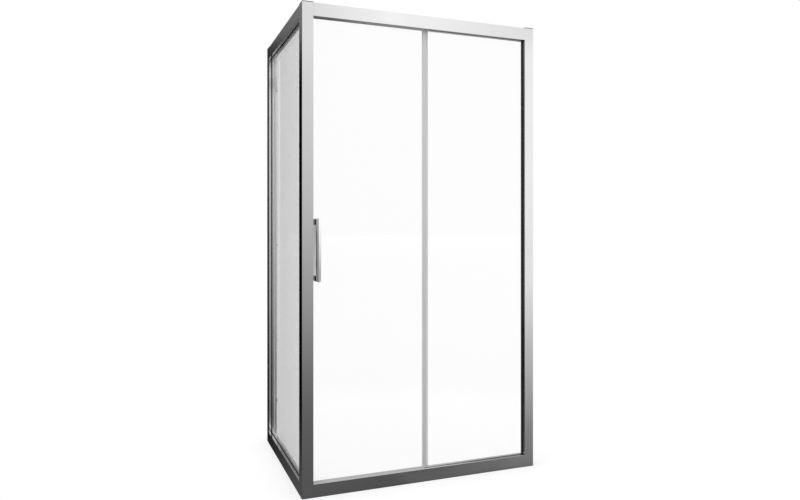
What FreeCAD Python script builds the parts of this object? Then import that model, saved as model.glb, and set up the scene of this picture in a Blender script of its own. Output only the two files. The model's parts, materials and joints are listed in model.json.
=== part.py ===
import FreeCAD, Part
import os

# Corner shower enclosure: a fixed side panel, a fixed front panel and a door that slides behind it.
# Sizes are in millimetres. X runs along the front from the corner post to the right wall, Y runs
# from the front to the rear wall and Z runs up from the tray. The sizes are laid out from the outer
# front corner of the corner post; the finished pieces are moved so that the origin lies under the
# middle of the whole enclosure.

# ---------------------------------------------------------------- overall sizes
WIDTH = 1010.0
DEPTH = 800.0
HEIGHT = 1900.0

# ---------------------------------------------------------------- aluminium frame section
METAL = 2.0                # wall of every aluminium extrusion
EDGE_ROUND = 0.6           # rounded long edges of the frame
LEDGE = 10.5               # outer box of the section, in front of the groove
GROOVE = 6.0               # shadow groove between ledge and glazing bead
GROOVE_DEEP = 8.0
BEAD = 9.0                 # glazing bead in front of the pane
GASKET = 1.0               # wall of the glazing gasket
GASKET_BASE = 2.0
GLASS = 6.0                # every pane
GLASS_BITE = 10.0          # how far a pane reaches into its slot
SIDE_BACK_HOLLOW = 6.5     # hollow behind the side panel's slot
SIDE_SET_BACK = 26.0       # that hollow, set back from the side rails' edge
JAMB_SET_BACK = 16.0       # back of a jamb and its wall channel, set back from the jamb's face
CHANNEL_WALL = 3.5         # between the front pane's slot and the door's channel
CHANNEL_SET_BACK = 8.0     # inner wall of the door's channel, set back from the rails' edge
RIGHT_FACE_WIDE = 41.6     # width of the right upright seen from the front
REAR_FACE_WIDE = 49.0      # width of the rear upright seen from the side
JAMB_WIDE = 24.0           # telescoping jamb inside each wall channel
PLATE = 3.0                # joint plate between rail end and upright
CAP = 3.0                  # end cap on each upright
CAP_PLUG = 12.0            # how far a cap's plug reaches into its upright
CAP_PLUG_WALL_GAP = 0.5
COVER_LEG = 5.0            # clip legs of the corner post's cover strip
COVER_LEG_WALL = 1.5
STILE_DEEP = 16.0          # side panel's front stile, behind the corner post
PORT = 8.0                 # square screw port inside a rail
PORT_A = (14.5, 30.0)      # screw ports: depth in the section, distance from the inner edge
PORT_B = (28.5, 19.0)

# ---------------------------------------------------------------- door profiles and running gear
SLIDE_GAP = 1.5            # between the fixed frame and the door's profiles
DOOR_METAL = 2.0
DOOR_PROFILE_TALL = 16.0   # top and bottom glass profiles
STILE_WIDE = 16.0          # leading and trailing glass profiles
CARRIER = 2.5              # steel plate of a roller carrier
CARRIER_GAP = 1.0          # behind the carrier plate
CARRIER_HALF = 32.0        # half the carrier's length
CARRIER_TALL = 38.0
CARRIER_ROUND = 4.0
CARRIER_INSET = 50.0       # carrier's middle to the end of the stile beside it
DOOR_INSET = 3.5           # door profile behind the rail's inner edge
LIFT_GAP = 2.5             # play for lifting the door off its track
TRACK = 2.5                # floor of the track
RIDGE = 2.0                # height of the running ridge
RIDGE_WIDE = 2.0
WHEEL_RADIUS = 10.0        # rolling radius
WHEEL_RIM = 0.7            # rims that straddle the ridge
WHEEL_WIDE = 6.0
WHEEL_SPACING = 40.0
WHEEL_HEAD_GAP = 2.3       # above the wheels
RUN_GAP = 0.3              # between a moving face and a fixed one
PIN_GAP = 0.05             # radial clearance of a pin in its hole
AXLE_RADIUS = 2.5
AXLE_HEAD = 1.0
AXLE_HEAD_RADIUS = 4.0
BASE_HOLLOW = 8.0          # below the guide channel
GUIDE_FLOOR_GAP = 2.0
GUIDE_RADIUS = 7.0
GUIDE_WIDE = 6.0
GUIDE_TOP_GAP = 1.0
BRACKET_TALL = 8.0
BRACKET_LONG = 34.0
BRACKET_WIDE = 7.0
BRACKET_SCREW_OUT = 12.0   # screws on both sides of the guide wheel's pin
CATCH_DEEP = 20.0          # door channel in the corner post
FIXED_LEAD = 2.4           # fixed panel's edge before the middle of the opening
FIXED_EDGE_WIDE = 14.2     # profile on the fixed panel's free edge
DOOR_LAP = 28.2            # door behind the fixed panel's edge
STOP_LONG = 18.0
STOP_ABOVE_RIDGE = 1.0

# ---------------------------------------------------------------- seals
SEAL_BASE = 1.0
SEAL_LIP = 1.5
POST_SEAL_THICK = 5.0
MAGNET = 3.0
MAGNET_WIDE = 5.0
SEAL_END_GAP = 2.0
BOTTOM_SEAL_TALL = 8.0
FILLER_WALL = 1.5

# ---------------------------------------------------------------- handles
HANDLE_LONG = 246.0
HANDLE_WIDE = 18.4
HANDLE_THICK = 10.0
HANDLE_PROUD = 15.0        # outer handle in front of the frame
HANDLE_INSIDE = 40.0       # inner handle behind the door glass
HANDLE_FROM_POST = 9.0
HANDLE_STOP_GAP = 12.4     # outer handle to the fixed panel with the door fully open
HANDLE_FACET = (5.0, 4.0)  # bevels beside the handle's front face: across, deep
HANDLE_ROUND = 5.0
FOOT_LONG = 23.0
FOOT_INSET = 2.0
WASHER = 1.0
WASHER_RADIUS = 7.0
BOLT_RADIUS = 3.0
BOLT_IN_FOOT = 14.0
GLASS_HOLE_RADIUS = 6.0

# ---------------------------------------------------------------- screws
SCREW_RADIUS = 2.0
SCREW_HEAD_RADIUS = 3.5
SCREW_HEAD = 2.5
SCREW_IN_RAIL = 20.0
COUNTERSINK = 2.0          # depth of the countersunk heads
ADJUSTER_LONG = 8.0
ADJUSTER_FROM_FACE = 21.0
ADJUSTER_INSET = 200.0     # lowest and highest adjuster from the uprights' ends
ADJUSTER_COUNT = 3
COVER_WALL = 1.2           # screw covers
COVER_GAP = 0.3
WALL_HOLE_RADIUS = 3.0
WALL_HOLE_INSET = 150.0
WALL_HOLE_COUNT = 4

# ---------------------------------------------------------------- places that follow from the sizes
BEAD_FROM = LEDGE + GROOVE
SLOT_FROM = BEAD_FROM + BEAD
PANE_FROM = SLOT_FROM + GASKET
PANE_TO = PANE_FROM + GLASS
SLOT_TO = PANE_TO + GASKET
SLOT_DEEP = GLASS_BITE + GASKET_BASE
CHANNEL_FROM = SLOT_TO + CHANNEL_WALL
DOOR_FRONT = CHANNEL_FROM + SLIDE_GAP
DOOR_PANE_FROM = DOOR_FRONT + DOOR_METAL
DOOR_PANE_TO = DOOR_PANE_FROM + GLASS
DOOR_BACK = DOOR_PANE_TO + DOOR_METAL
DOOR_MIDDLE = (DOOR_PANE_FROM + DOOR_PANE_TO) / 2.0
CARRIER_BACK = DOOR_BACK + CARRIER
CHANNEL_TO = CARRIER_BACK + CARRIER_GAP
FRONT_DEEP = CHANNEL_TO + METAL
SIDE_DEEP = SLOT_TO + METAL + SIDE_BACK_HOLLOW + METAL
POST_WIDE = SIDE_DEEP
POST_DEEP = FRONT_DEEP

UNDER_TRACK = DOOR_INSET + DOOR_PROFILE_TALL + LIFT_GAP
TRACK_TOP = UNDER_TRACK + TRACK
RIDGE_TOP = TRACK_TOP + RIDGE
WHEEL_AT = RIDGE_TOP + WHEEL_RADIUS
RAIL = WHEEL_AT + WHEEL_RADIUS + WHEEL_RIM + WHEEL_HEAD_GAP + METAL
UPRIGHT_TOP = HEIGHT - CAP
HEAD_EDGE = UPRIGHT_TOP - RAIL
CHANNEL_FLOOR = METAL + BASE_HOLLOW + METAL
GUIDE_LOW = CHANNEL_FLOOR + GUIDE_FLOOR_GAP
BRACKET_LOW = GUIDE_LOW + GUIDE_WIDE + GUIDE_TOP_GAP
DOOR_LOW = BRACKET_LOW + BRACKET_TALL
DOOR_GLASS_LOW = DOOR_LOW + DOOR_METAL
DOOR_HIGH = HEAD_EDGE + DOOR_INSET + DOOR_PROFILE_TALL
DOOR_GLASS_HIGH = DOOR_HIGH - DOOR_METAL
WHEEL_Z = HEAD_EDGE + WHEEL_AT
GUIDE_Y = CHANNEL_FROM + RUN_GAP + GUIDE_RADIUS

RIGHT_FACE = WIDTH - RIGHT_FACE_WIDE
REAR_FACE = DEPTH - REAR_FACE_WIDE
STILE_FACE = POST_DEEP + STILE_DEEP
FRONT_RAIL = (POST_WIDE + PLATE, RIGHT_FACE - PLATE)
SIDE_RAIL = (POST_DEEP + PLATE, REAR_FACE - PLATE)
CATCH_FLOOR = POST_WIDE - CATCH_DEEP
FIXED_EDGE = (POST_WIDE + RIGHT_FACE) / 2.0 - FIXED_LEAD
FIXED_GLASS_LEFT = FIXED_EDGE + METAL
POST_SEAL_TO = CATCH_FLOOR + POST_SEAL_THICK
DOOR_SEAL_FROM = POST_SEAL_TO + RUN_GAP
DOOR_LEFT = DOOR_SEAL_FROM + POST_SEAL_THICK
DOOR_RIGHT = FIXED_EDGE + DOOR_LAP
HANDLE_FROM = POST_WIDE + HANDLE_FROM_POST
HANDLE_TO = HANDLE_FROM + HANDLE_WIDE
HANDLE_AT = (HANDLE_FROM + HANDLE_TO) / 2.0
HANDLE_LOW = (HEAD_EDGE + RAIL) / 2.0 - HANDLE_LONG / 2.0
HANDLE_HIGH = HANDLE_LOW + HANDLE_LONG
TRAVEL = FIXED_EDGE - HANDLE_STOP_GAP - HANDLE_TO
CARRIERS = (DOOR_LEFT + STILE_WIDE + CARRIER_INSET, DOOR_RIGHT - STILE_WIDE - CARRIER_INSET)
ORIGIN = FreeCAD.Vector(-WIDTH / 2.0, -(DEPTH - HANDLE_PROUD) / 2.0, 0.0)

X_AXIS = FreeCAD.Vector(1, 0, 0)
Y_AXIS = FreeCAD.Vector(0, 1, 0)
Z_AXIS = FreeCAD.Vector(0, 0, 1)


# ---------------------------------------------------------------- helpers
def box(x0, x1, y0, y1, z0, z1):
    return Part.makeBox(x1 - x0, y1 - y0, z1 - z0, FreeCAD.Vector(x0, y0, z0))


def rod(radius, start, axis, length):
    return Part.makeCylinder(radius, length, FreeCAD.Vector(*start), axis)


def joined(shapes):
    return shapes[0].fuse(shapes[1:]).removeSplitter()


def softened(shape, radius, points):
    """Rounds each edge that passes through one of the points."""
    marks = [Part.Vertex(FreeCAD.Vector(*point)) for point in points]
    picked = [edge for edge in shape.Edges
              if any(edge.distToShape(mark)[0] < 0.001 for mark in marks)]
    return shape.makeFillet(radius, picked)


def export(name, solids):
    """Writes one node, moved so that the origin lies under the middle of the enclosure."""
    shape = Part.makeCompound(solids) if len(solids) > 1 else solids[0]
    shape.translate(ORIGIN)
    shape.exportStep("parts/" + name + ".step")


# ---------------------------------------------------------------- frame members
# A member is laid out by its section: u is the depth from the enclosure's outer face, and v is the
# distance from the edge beside the pane into the metal. Each function below gives the point at u and
# v that lies so far along the member.
def at_top_rail(u, v, along):
    return (along, u, HEAD_EDGE + v)


def at_bottom_rail(u, v, along):
    return (along, u, RAIL - v)


def at_side_top_rail(u, v, along):
    return (u, along, HEAD_EDGE + v)


def at_side_bottom_rail(u, v, along):
    return (u, along, RAIL - v)


def at_right_jamb(u, v, along):
    return (RIGHT_FACE + v, u, along)


def at_rear_jamb(u, v, along):
    return (u, REAR_FACE + v, along)


def at_side_stile(u, v, along):
    return (u, STILE_FACE - v, along)


def bar(place, rect, span):
    """A straight bar whose section is one rectangle (u0, u1, v0, v1)."""
    u0, u1, v0, v1 = rect
    a = place(u0, v0, span[0])
    b = place(u1, v1, span[1])
    low = [min(pair) for pair in zip(a, b)]
    high = [max(pair) for pair in zip(a, b)]
    return box(low[0], high[0], low[1], high[1], low[2], high[2])


GROOVE_CUT = (LEDGE, BEAD_FROM, 0.0, GROOVE_DEEP)
SLOT_CUT = (SLOT_FROM, SLOT_TO, 0.0, SLOT_DEEP)
BEAD_HOLLOW = (BEAD_FROM + METAL, SLOT_FROM - METAL, METAL, GROOVE_DEEP + METAL)


def middle_hollows(end):
    """Hollows behind the groove and behind the slot, as far as the given distance."""
    return [(LEDGE, SLOT_FROM - METAL, GROOVE_DEEP + METAL, end),
            (SLOT_FROM - METAL, SLOT_TO, SLOT_DEEP + METAL, end)]


def member(place, span, outer, cuts, kept=()):
    """A length of extrusion: the outer rectangle less its cuts, with the kept rectangles inside."""
    shape = bar(place, outer, span).cut([bar(place, cut, span) for cut in cuts])
    if kept:
        shape = joined([shape] + [bar(place, rect, span) for rect in kept])
    return shape.removeSplitter()


def port_block(port):
    """The square of metal round a screw port, which stands on the wall nearest to it."""
    u, v = port
    return (u - PORT / 2.0, u + PORT / 2.0, v - PORT / 2.0, v + PORT / 2.0)


def port_blocks():
    a = port_block(PORT_A)
    b = port_block(PORT_B)
    return [(LEDGE - METAL, a[1], a[2], a[3]), (b[0], b[1], SLOT_DEEP, b[3])]


TRACK_CUTS = [
    (CHANNEL_FROM, CHANNEL_TO, 0.0, UNDER_TRACK),
    (CHANNEL_FROM, CHANNEL_TO, TRACK_TOP, RAIL - METAL),
    (DOOR_PANE_TO, CHANNEL_TO, UNDER_TRACK, TRACK_TOP),
    (CHANNEL_TO, FRONT_DEEP, 0.0, CHANNEL_SET_BACK),
]
RIDGE_RECT = (DOOR_MIDDLE - RIDGE_WIDE / 2.0, DOOR_MIDDLE + RIDGE_WIDE / 2.0, TRACK_TOP, RIDGE_TOP)
GUIDE_CUTS = [(CHANNEL_FROM, CHANNEL_TO, 0.0, RAIL - CHANNEL_FLOOR),
              (CHANNEL_TO, FRONT_DEEP, 0.0, CHANNEL_SET_BACK)]
SIDE_BACK_CUT = (SLOT_TO + METAL, SIDE_DEEP, 0.0, SIDE_SET_BACK)


def rail_edges(place, span):
    """Points on the outer long edges of a rail."""
    middle = (span[0] + span[1]) / 2.0
    return [place(0.0, v, middle) for v in (0.0, RAIL)]


def port_holes(place, span):
    """Round holes along a rail, through its two screw ports."""
    holes = []
    for u, v in (PORT_A, PORT_B):
        start = FreeCAD.Vector(*place(u, v, span[0]))
        run = FreeCAD.Vector(*place(u, v, span[1])) - start
        holes.append(rod(SCREW_RADIUS + PIN_GAP, start, run, run.Length))
    return holes


def rail(place, span, deep, cuts, kept=()):
    front_hollow = (METAL, LEDGE - METAL, METAL, RAIL - METAL)
    shape = member(place, span, (0.0, deep, 0.0, RAIL),
                   [front_hollow, GROOVE_CUT, SLOT_CUT, BEAD_HOLLOW] + list(cuts),
                   port_blocks() + list(kept))
    shape = softened(shape, EDGE_ROUND, rail_edges(place, span))
    return shape.cut(port_holes(place, span))


def top_rail():
    return rail(at_top_rail, FRONT_RAIL, FRONT_DEEP, middle_hollows(RAIL - METAL) + TRACK_CUTS,
                [RIDGE_RECT])


def bottom_rail():
    base = (LEDGE, CHANNEL_TO, RAIL - CHANNEL_FLOOR + METAL, RAIL - METAL)
    return rail(at_bottom_rail, FRONT_RAIL, FRONT_DEEP,
                middle_hollows(RAIL - CHANNEL_FLOOR) + GUIDE_CUTS + [base])


def side_rail(place):
    back = (SLOT_TO + METAL, SIDE_DEEP - METAL, SIDE_SET_BACK + METAL, RAIL - METAL)
    return rail(place, SIDE_RAIL, SIDE_DEEP, middle_hollows(RAIL - METAL) + [SIDE_BACK_CUT, back])


def joint_plates(place, spans, deep, cuts):
    """Plates with the rail's outline, open where the groove, the slot and the channel run on."""
    plates = []
    for span in spans:
        plate = member(place, span, (0.0, deep, 0.0, RAIL), [GROOVE_CUT, SLOT_CUT] + list(cuts))
        plate = softened(plate, EDGE_ROUND, rail_edges(place, span))
        plates.append(plate.cut(port_holes(place, span)))
    return plates


def jamb(place, deep):
    """Telescoping jamb: glazing section on its face, open towards the wall."""
    cuts = [
        GROOVE_CUT, SLOT_CUT,
        (2.0 * METAL, LEDGE - METAL, METAL, JAMB_WIDE),
        (LEDGE, SLOT_FROM - METAL, GROOVE_DEEP + METAL, JAMB_WIDE),
        BEAD_HOLLOW,
        (2.0 * METAL, SLOT_TO, SLOT_DEEP + METAL, JAMB_WIDE),
        (SLOT_TO + METAL, deep - METAL, 0.0, JAMB_SET_BACK),
        (SLOT_TO, deep - 2.0 * METAL, JAMB_SET_BACK + METAL, JAMB_WIDE),
    ]
    return member(place, (0.0, UPRIGHT_TOP), (METAL, deep - METAL, 0.0, JAMB_WIDE), cuts)


def side_front_stile():
    cuts = [GROOVE_CUT, SLOT_CUT,
            (BEAD_FROM + METAL, SLOT_FROM - METAL, METAL, STILE_DEEP - METAL),
            (SLOT_TO + METAL, SIDE_DEEP - METAL, METAL, STILE_DEEP - METAL)]
    return member(at_side_stile, (RAIL, HEAD_EDGE), (LEDGE, SIDE_DEEP, 0.0, STILE_DEEP), cuts)


# ---------------------------------------------------------------- uprights
def corner_post():
    """Open on its outer side face, where a cover strip snaps on; its door channel faces right."""
    shape = box(0.0, POST_WIDE, 0.0, POST_DEEP, 0.0, UPRIGHT_TOP)
    middle = UPRIGHT_TOP / 2.0
    shape = softened(shape, EDGE_ROUND, [(0.0, 0.0, middle), (POST_WIDE, 0.0, middle)])
    shape = shape.cut([
        box(0.0, POST_WIDE - METAL, METAL, SLOT_TO, 0.0, UPRIGHT_TOP),
        box(0.0, CATCH_FLOOR - METAL, SLOT_TO, CHANNEL_TO, 0.0, UPRIGHT_TOP),
        box(CATCH_FLOOR, POST_WIDE, CHANNEL_FROM, CHANNEL_TO, 0.0, UPRIGHT_TOP),
        box(0.0, METAL, METAL, POST_DEEP, 0.0, UPRIGHT_TOP),
    ])
    return shape.cut(screw_holes(POST_SCREWS))


def corner_post_cover():
    """Snap-on strip with two clip legs along the post's outer side."""
    leg = METAL + COVER_LEG
    strip = box(0.0, METAL, METAL, POST_DEEP, 0.0, UPRIGHT_TOP)
    strip = softened(strip, EDGE_ROUND, [(0.0, POST_DEEP, UPRIGHT_TOP / 2.0)])
    front_leg = box(METAL, leg, METAL + RUN_GAP, METAL + RUN_GAP + COVER_LEG_WALL, 0.0, UPRIGHT_TOP)
    rear_leg = box(METAL, leg, CHANNEL_TO - COVER_LEG_WALL - RUN_GAP, CHANNEL_TO - RUN_GAP, 0.0,
                   UPRIGHT_TOP)
    return joined([strip, front_leg, rear_leg])


def wall_channel_right():
    shape = box(RIGHT_FACE, WIDTH, 0.0, FRONT_DEEP, 0.0, UPRIGHT_TOP)
    middle = UPRIGHT_TOP / 2.0
    shape = softened(shape, EDGE_ROUND, [(RIGHT_FACE, 0.0, middle), (WIDTH, 0.0, middle)])
    shape = shape.cut([
        box(RIGHT_FACE, WIDTH - METAL, METAL, FRONT_DEEP - METAL, 0.0, UPRIGHT_TOP),
        box(RIGHT_FACE, RIGHT_FACE + JAMB_SET_BACK, FRONT_DEEP - METAL, FRONT_DEEP, 0.0, UPRIGHT_TOP),
    ])
    holes = [rod(WALL_HOLE_RADIUS, (WIDTH - METAL, FRONT_DEEP / 2.0, z), X_AXIS, METAL)
             for z in wall_hole_heights()]
    return shape.cut(holes + screw_holes(RIGHT_ADJUSTERS))


def wall_channel_rear():
    shape = box(0.0, SIDE_DEEP, REAR_FACE, DEPTH, 0.0, UPRIGHT_TOP)
    middle = UPRIGHT_TOP / 2.0
    shape = softened(shape, EDGE_ROUND, [(0.0, REAR_FACE, middle), (0.0, DEPTH, middle)])
    shape = shape.cut([
        box(METAL, SIDE_DEEP - METAL, REAR_FACE, DEPTH - METAL, 0.0, UPRIGHT_TOP),
        box(SIDE_DEEP - METAL, SIDE_DEEP, REAR_FACE, REAR_FACE + JAMB_SET_BACK, 0.0, UPRIGHT_TOP),
    ])
    holes = [rod(WALL_HOLE_RADIUS, (SIDE_DEEP / 2.0, DEPTH - METAL, z), Y_AXIS, METAL)
             for z in wall_hole_heights()]
    return shape.cut(holes + screw_holes(REAR_ADJUSTERS))


def spread(inset, count):
    """Heights spread evenly between the same inset at both ends of the uprights."""
    step = (UPRIGHT_TOP - 2.0 * inset) / (count - 1)
    return [inset + step * index for index in range(count)]


def wall_hole_heights():
    return spread(WALL_HOLE_INSET, WALL_HOLE_COUNT)


def upright_cap(x0, x1, y0, y1, plug):
    """Cap over an upright, with a plug that reaches into its hollow."""
    plate = box(x0, x1, y0, y1, UPRIGHT_TOP, HEIGHT)
    edges = [((x0 + x1) / 2.0, y0, HEIGHT), (x0, (y0 + y1) / 2.0, HEIGHT),
             (x0, y0, UPRIGHT_TOP + CAP / 2.0), (x1, y0, UPRIGHT_TOP + CAP / 2.0)]
    plate = softened(plate, EDGE_ROUND, edges)
    return joined([plate, box(*plug, UPRIGHT_TOP - CAP_PLUG, UPRIGHT_TOP)])


def post_plug():
    """Footprint of the plugs in the corner post, clear of the cover strip's legs."""
    gap = CAP_PLUG_WALL_GAP
    return (METAL + COVER_LEG + gap, POST_WIDE - METAL - gap, METAL + gap, SLOT_TO - gap)


def corner_post_foot():
    return box(*post_plug(), 0.0, CAP_PLUG)


def channel_plug(deep):
    """Range of a plug across the space between a wall channel's flanges."""
    return (METAL + CAP_PLUG_WALL_GAP, deep - METAL - CAP_PLUG_WALL_GAP)


# ---------------------------------------------------------------- screws
# A screw is where its head's seat lies, the way its shank points and how long the shank is.
def screw(seat, axis, length):
    head = rod(SCREW_HEAD_RADIUS, [c - a * SCREW_HEAD for c, a in zip(seat, axis)], axis, SCREW_HEAD)
    return joined([head, rod(SCREW_RADIUS, seat, axis, length)])


def screw_holes(screws):
    return [rod(SCREW_RADIUS + PIN_GAP, seat, axis, length) for seat, axis, length in screws]


def rail_heights(distance):
    """The height of a section distance in the bottom rails and in the top rails."""
    return (RAIL - distance, HEAD_EDGE + distance)


# Depth of each screw port, thickness of the jamb in front of it, and its height.
PORT_PLACES = [(port[0], behind, z)
               for port, behind in ((PORT_A, GROOVE_DEEP + METAL), (PORT_B, SLOT_DEEP + METAL))
               for z in rail_heights(port[1])]
POST_SCREW_LONG = METAL + PLATE + SCREW_IN_RAIL
POST_SCREWS = (
    [((POST_WIDE - METAL, depth, z), X_AXIS, POST_SCREW_LONG) for depth, behind, z in PORT_PLACES]
    + [((depth, POST_DEEP - METAL, z), Y_AXIS, POST_SCREW_LONG) for depth, behind, z in PORT_PLACES])
RIGHT_SCREWS = [((RIGHT_FACE + behind, depth, z), -X_AXIS, behind + PLATE + SCREW_IN_RAIL)
                for depth, behind, z in PORT_PLACES]
REAR_SCREWS = [((depth, REAR_FACE + behind, z), -Y_AXIS, behind + PLATE + SCREW_IN_RAIL)
               for depth, behind, z in PORT_PLACES]
RIGHT_ADJUSTERS = [((RIGHT_FACE + ADJUSTER_FROM_FACE, FRONT_DEEP, z), -Y_AXIS, ADJUSTER_LONG)
                   for z in spread(ADJUSTER_INSET, ADJUSTER_COUNT)]
REAR_ADJUSTERS = [((SIDE_DEEP, REAR_FACE + ADJUSTER_FROM_FACE, z), -X_AXIS, ADJUSTER_LONG)
                  for z in spread(ADJUSTER_INSET, ADJUSTER_COUNT)]


def screw_cover(seat, axis):
    """Cup that snaps over a screw head."""
    outward = FreeCAD.Vector(-axis.x, -axis.y, -axis.z)
    inner = SCREW_HEAD_RADIUS + COVER_GAP
    deep = SCREW_HEAD + COVER_GAP
    cup = rod(inner + COVER_WALL, seat, outward, deep + COVER_WALL)
    rim = [edge for edge in cup.Edges if edge.Closed and edge.CenterOfMass.distanceToPoint(
        FreeCAD.Vector(*seat)) > deep]
    cup = cup.makeFillet(COVER_WALL / 2.0, rim)
    return cup.cut(rod(inner, seat, outward, deep))


# ---------------------------------------------------------------- panes, gaskets and fillers
def fixed_glass():
    return box(FIXED_GLASS_LEFT, RIGHT_FACE + GLASS_BITE, PANE_FROM, PANE_TO,
               RAIL - GLASS_BITE, HEAD_EDGE + GLASS_BITE)


def side_glass():
    return box(PANE_FROM, PANE_TO, STILE_FACE - GLASS_BITE, REAR_FACE + GLASS_BITE,
               RAIL - GLASS_BITE, HEAD_EDGE + GLASS_BITE)


def fixed_glass_gasket():
    band = box(FIXED_GLASS_LEFT, RIGHT_FACE + SLOT_DEEP, SLOT_FROM, SLOT_TO,
               RAIL - SLOT_DEEP, HEAD_EDGE + SLOT_DEEP)
    window = box(FIXED_GLASS_LEFT, RIGHT_FACE, SLOT_FROM, SLOT_TO, RAIL, HEAD_EDGE)
    return band.cut([window, fixed_glass()])


def side_glass_gasket():
    band = box(SLOT_FROM, SLOT_TO, STILE_FACE - SLOT_DEEP, REAR_FACE + SLOT_DEEP,
               RAIL - SLOT_DEEP, HEAD_EDGE + SLOT_DEEP)
    window = box(SLOT_FROM, SLOT_TO, STILE_FACE, REAR_FACE, RAIL, HEAD_EDGE)
    return band.cut([window, side_glass()])


def filler_strips(place):
    """Clip-in strips that close the groove and the empty slot on the door's half of a rail."""
    strips = []
    span = (FRONT_RAIL[0], FIXED_EDGE)
    for u0, u1, v0, v1 in (GROOVE_CUT, SLOT_CUT):
        hollow = (u0 + FILLER_WALL, u1 - FILLER_WALL, FILLER_WALL, v1)
        strips.append(member(place, span, (u0, u1, v0, v1), [hollow]))
    return strips


def edge_profile(x0, x1, y0, y1, span, wall, opens_right):
    """Upright U profile for a pane's edge, rounded along its closed side."""
    closed = x0 if opens_right else x1
    middle = (span[0] + span[1]) / 2.0
    shape = softened(box(x0, x1, y0, y1, *span), EDGE_ROUND, [(closed, y0, middle), (closed, y1, middle)])
    inner = (x0 + wall, x1) if opens_right else (x0, x1 - wall)
    return shape.cut(box(*inner, y0 + wall, y1 - wall, *span))


def fixed_edge_profile():
    return edge_profile(FIXED_EDGE, FIXED_EDGE + FIXED_EDGE_WIDE, PANE_FROM - METAL, PANE_TO + METAL,
                        (RAIL, HEAD_EDGE), METAL, True)


def centre_seal():
    """Flat base on the fixed edge profile with a lip that reaches the door glass."""
    back = PANE_TO + METAL
    base = box(FIXED_EDGE + SEAL_BASE, FIXED_EDGE + FIXED_EDGE_WIDE - METAL, back, back + SEAL_BASE,
               RAIL, HEAD_EDGE)
    lip_at = FIXED_EDGE + SEAL_BASE + SEAL_LIP
    lip = box(lip_at, lip_at + SEAL_LIP, back, DOOR_PANE_FROM - RUN_GAP, RAIL, HEAD_EDGE)
    return joined([base, lip])


def magnet_seal(x0, x1):
    """Seal body with a long pocket for its magnet bar."""
    body = box(x0, x1, DOOR_FRONT + SEAL_BASE, DOOR_BACK - SEAL_BASE, RAIL, HEAD_EDGE)
    return body.cut(magnet_bar(x0, x1))


def magnet_bar(x0, x1):
    middle = (x0 + x1) / 2.0
    return box(middle - MAGNET / 2.0, middle + MAGNET / 2.0, DOOR_MIDDLE - MAGNET_WIDE / 2.0,
               DOOR_MIDDLE + MAGNET_WIDE / 2.0, RAIL + SEAL_END_GAP, HEAD_EDGE - SEAL_END_GAP)


# ---------------------------------------------------------------- door
def door_glass():
    pane = box(DOOR_LEFT + DOOR_METAL, DOOR_RIGHT - DOOR_METAL, DOOR_PANE_FROM, DOOR_PANE_TO,
               DOOR_GLASS_LOW, DOOR_GLASS_HIGH)
    return pane.cut([rod(GLASS_HOLE_RADIUS, (HANDLE_AT, DOOR_PANE_FROM, z), Y_AXIS, GLASS)
                     for z in foot_heights()])


def door_stile(x0, x1, opens_right):
    span = (DOOR_LOW + DOOR_PROFILE_TALL, DOOR_HIGH - DOOR_PROFILE_TALL)
    return edge_profile(x0, x1, DOOR_FRONT, DOOR_BACK, span, DOOR_METAL, opens_right)


def door_top_profile():
    shape = box(DOOR_LEFT, DOOR_RIGHT, DOOR_FRONT, DOOR_BACK, DOOR_HIGH - DOOR_PROFILE_TALL, DOOR_HIGH)
    shape = shape.cut(box(DOOR_LEFT, DOOR_RIGHT, DOOR_PANE_FROM, DOOR_PANE_TO,
                          DOOR_HIGH - DOOR_PROFILE_TALL, DOOR_GLASS_HIGH))
    return shape.cut(screw_holes(CARRIER_SCREWS))


def door_bottom_profile():
    shape = box(DOOR_LEFT, DOOR_RIGHT, DOOR_FRONT, DOOR_BACK, DOOR_LOW, DOOR_LOW + DOOR_PROFILE_TALL)
    shape = shape.cut(box(DOOR_LEFT, DOOR_RIGHT, DOOR_PANE_FROM, DOOR_PANE_TO, DOOR_GLASS_LOW,
                          DOOR_LOW + DOOR_PROFILE_TALL))
    return shape.cut(screw_holes(BRACKET_SCREWS))


def door_trailing_seal():
    """Base on the trailing stile with a lip that reaches the back of the fixed pane."""
    base = box(DOOR_RIGHT - STILE_WIDE + METAL, DOOR_RIGHT - METAL, DOOR_FRONT - SEAL_BASE,
               DOOR_FRONT, RAIL + SEAL_END_GAP, HEAD_EDGE - SEAL_END_GAP)
    lip_at = DOOR_RIGHT - STILE_WIDE / 2.0
    lip = box(lip_at, lip_at + SEAL_LIP, PANE_TO + RUN_GAP, DOOR_FRONT, RAIL + SEAL_END_GAP,
              HEAD_EDGE - SEAL_END_GAP)
    return joined([base, lip])


def door_bottom_seal():
    """Base on the bottom profile with a lip that reaches the rail's inner wall."""
    top = DOOR_LOW + DOOR_PROFILE_TALL - SEAL_BASE
    low = top - BOTTOM_SEAL_TALL
    base = box(DOOR_LEFT, DOOR_RIGHT, DOOR_BACK, DOOR_BACK + SEAL_BASE, low, top)
    lip = box(DOOR_LEFT, DOOR_RIGHT, DOOR_BACK, CHANNEL_TO - RUN_GAP, low, low + SEAL_LIP)
    return joined([base, lip])


# ---------------------------------------------------------------- running gear
def carrier_screw_places():
    height = DOOR_HIGH - DOOR_PROFILE_TALL / 2.0
    return [(middle + side * WHEEL_SPACING / 2.0, height)
            for middle in CARRIERS for side in (-1.0, 1.0)]


BRACKET_SCREWS = [((middle + side * BRACKET_SCREW_OUT, GUIDE_Y, BRACKET_LOW), Z_AXIS,
                   BRACKET_TALL + DOOR_METAL) for middle in CARRIERS for side in (-1.0, 1.0)]


# Countersunk screws: the seat is the carrier's back, and the shank ends at the pane.
CARRIER_SCREWS = [((x, CARRIER_BACK, z), -Y_AXIS, CARRIER + DOOR_METAL)
                  for x, z in carrier_screw_places()]


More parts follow.
